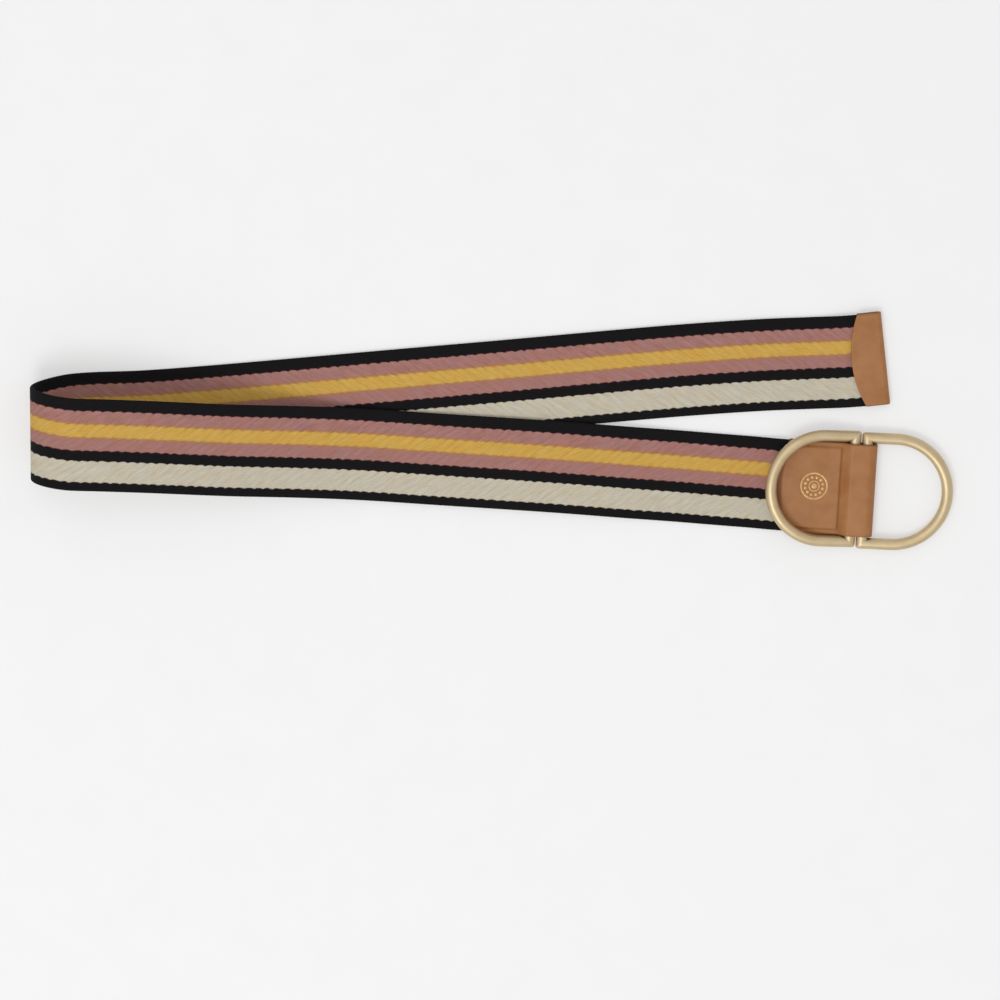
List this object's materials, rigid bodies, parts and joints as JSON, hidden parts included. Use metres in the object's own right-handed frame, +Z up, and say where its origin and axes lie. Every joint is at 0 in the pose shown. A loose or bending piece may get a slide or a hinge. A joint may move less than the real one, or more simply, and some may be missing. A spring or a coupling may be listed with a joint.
{
  "type": "web belt",
  "caption": "Striped woven web belt lying folded over, with a leather tip on its tail and a leather tab that holds two D-rings.",
  "frame": {"origin": "middle of the folded belt's footprint on the table", "axes": "+X from the fold towards the tip and the rings, +Y towards the tail, +Z up from the table"},
  "size_m": [0.4934, 0.1296, 0.0365],
  "materials": {
    "striped_web": "thick twill web with lengthwise stripes of black, dusty pink, golden yellow and cream",
    "tan_leather": "smooth tan leather with a soft sheen and painted edges",
    "pale_gold_metal": "satin pale gold plating on round wire"
  },
  "bodies": {
    "belt": {"web_strap": "striped_web", "tail_tip": "tan_leather", "ring_tab": "tan_leather"},
    "inner_ring": {"ring_inner": "pale_gold_metal"},
    "outer_ring": {"ring_outer": "pale_gold_metal"}
  },
  "joints": [
    {"name": "inner_ring_hinge", "type": "hinge", "parent": "belt", "child": "inner_ring", "pos_m": [0.19277, -0.03132, 0.00455], "axis": [0.056, 0.9984, 0], "range_deg": [0, 81.7]},
    {"name": "outer_ring_hinge", "type": "hinge", "parent": "belt", "child": "outer_ring", "pos_m": [0.19934, -0.03211, 0.00455], "axis": [-0.056, -0.9984, 0], "range_deg": [0, 91.9]}
  ]
}
